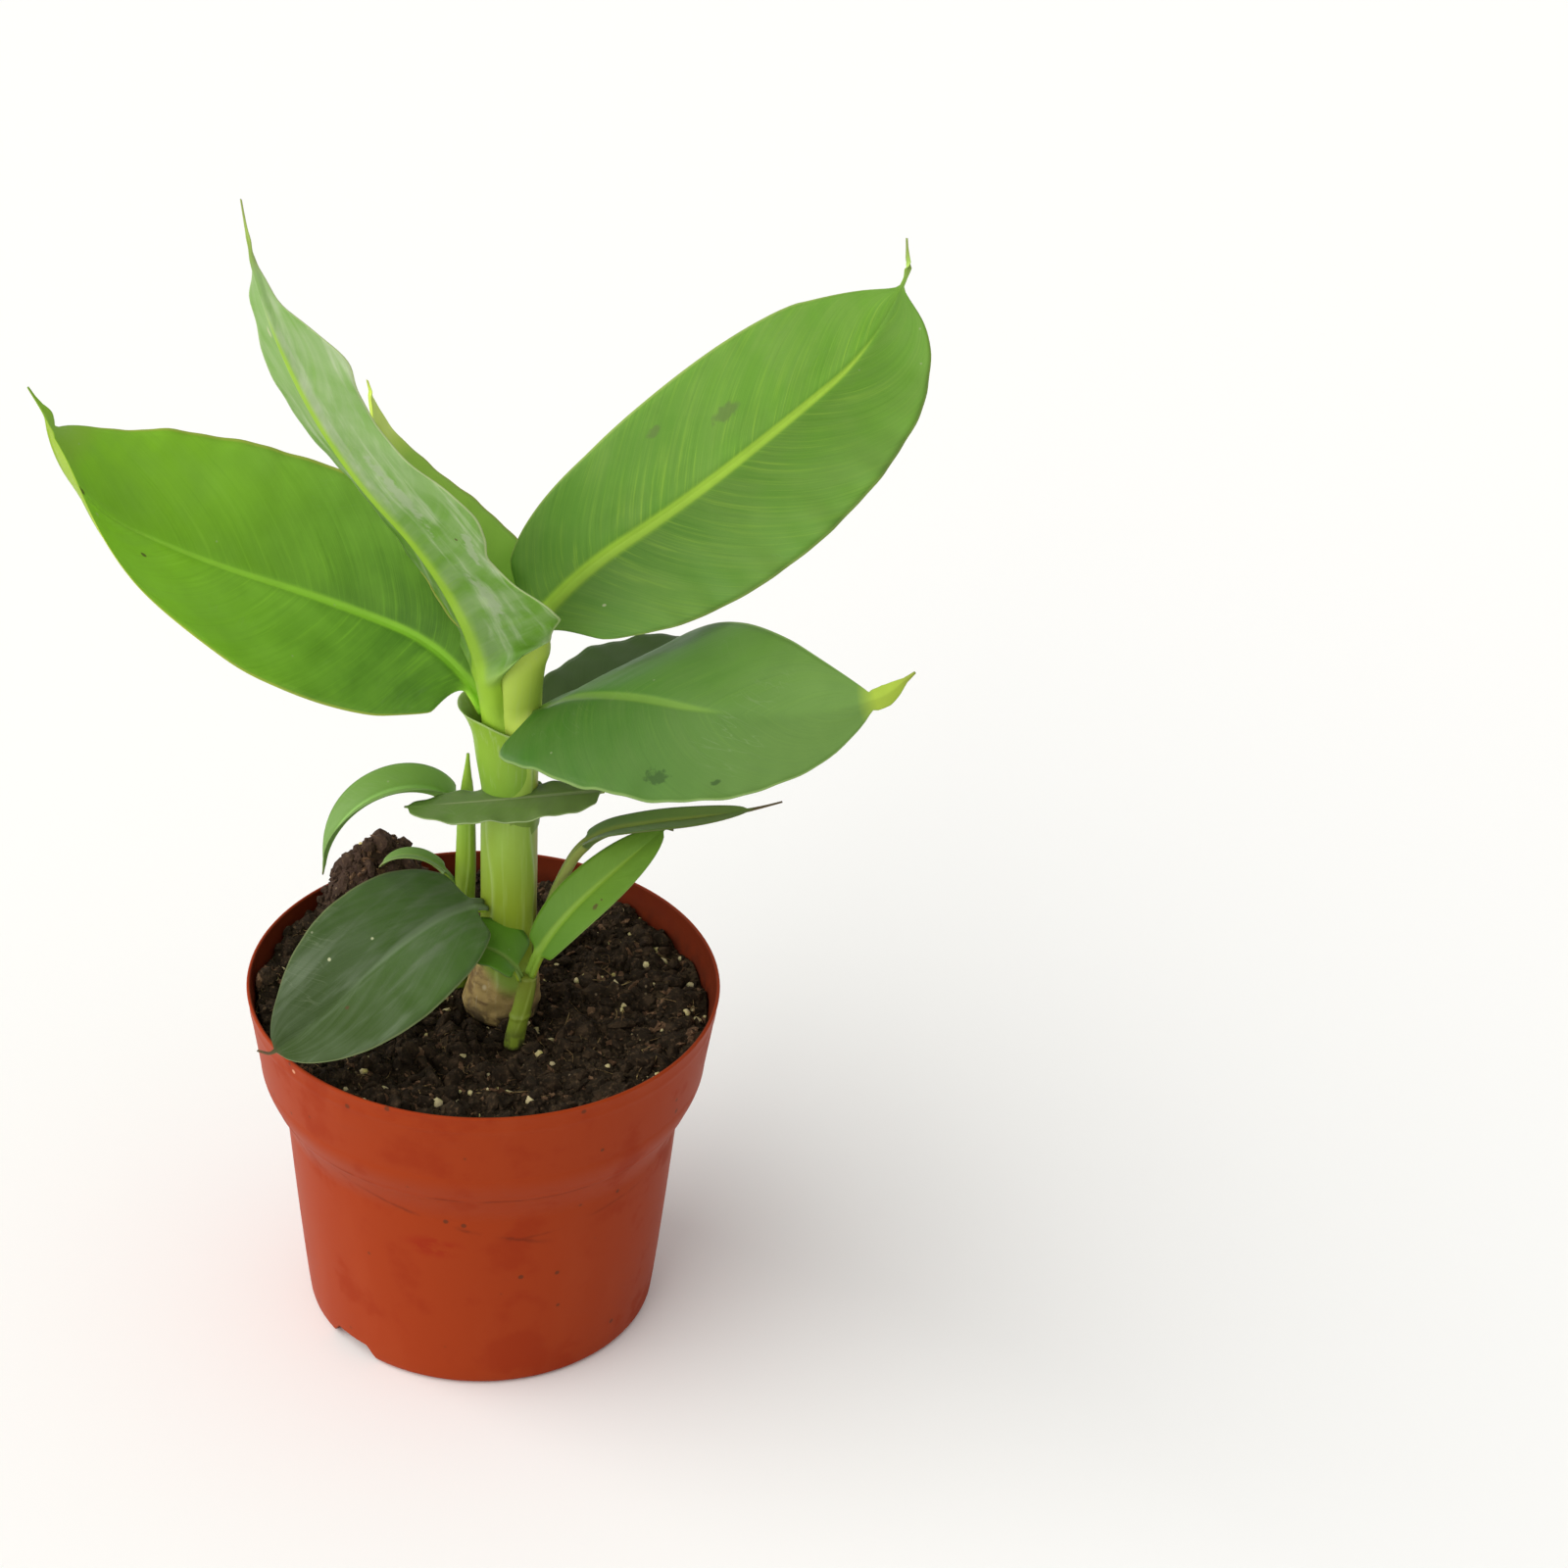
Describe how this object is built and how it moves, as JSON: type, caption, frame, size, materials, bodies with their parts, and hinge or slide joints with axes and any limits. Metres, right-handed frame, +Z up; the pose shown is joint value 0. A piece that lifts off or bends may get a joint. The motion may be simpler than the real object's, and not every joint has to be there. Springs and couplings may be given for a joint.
{
  "type": "potted banana plant",
  "caption": "Young banana plant with broad pointed leaves on a short stem and two suckers, in a round flared plastic nursery pot filled with peat soil.",
  "frame": {"origin": "centre of the flat disc in the middle of the pot's underside, on the pot's axis", "axes": "+Z up along the pot's axis; -Y is the front, the side the picture looks from; +X is to the right in that view"},
  "size_m": [0.2122, 0.1329, 0.3276],
  "materials": {
    "pot_plastic": "thin moulded terracotta-orange plastic, satin, with small scuffs and scratches",
    "peat": "damp dark peat with pale perlite specks and fibres",
    "stem": "smooth fresh yellow-green leaf sheaths with pale edges and small brown marks",
    "bright_leaf": "satin bright green leaf blade with a pale midrib and fine curved side veins",
    "dark_leaf": "satin dark green leaf blade with a pale midrib and a faint grey sheen"
  },
  "bodies": {
    "root": {"pot": "pot_plastic", "root_ball": "peat", "main_stem": "stem", "back_sucker_stem": "stem", "front_sucker_stem": "stem", "leaf_folded": "dark_leaf", "leaf_top_left": "bright_leaf", "leaf_tall": "bright_leaf", "leaf_rear": "bright_leaf", "leaf_top_right": "bright_leaf", "leaf_right": "dark_leaf", "leaf_rear_right": "dark_leaf", "leaf_narrow": "dark_leaf", "leaf_arched": "bright_leaf", "leaf_drooping": "dark_leaf", "leaf_small_arched": "bright_leaf", "leaf_bright": "bright_leaf", "leaf_small_left": "dark_leaf"}
  },
  "joints": []
}
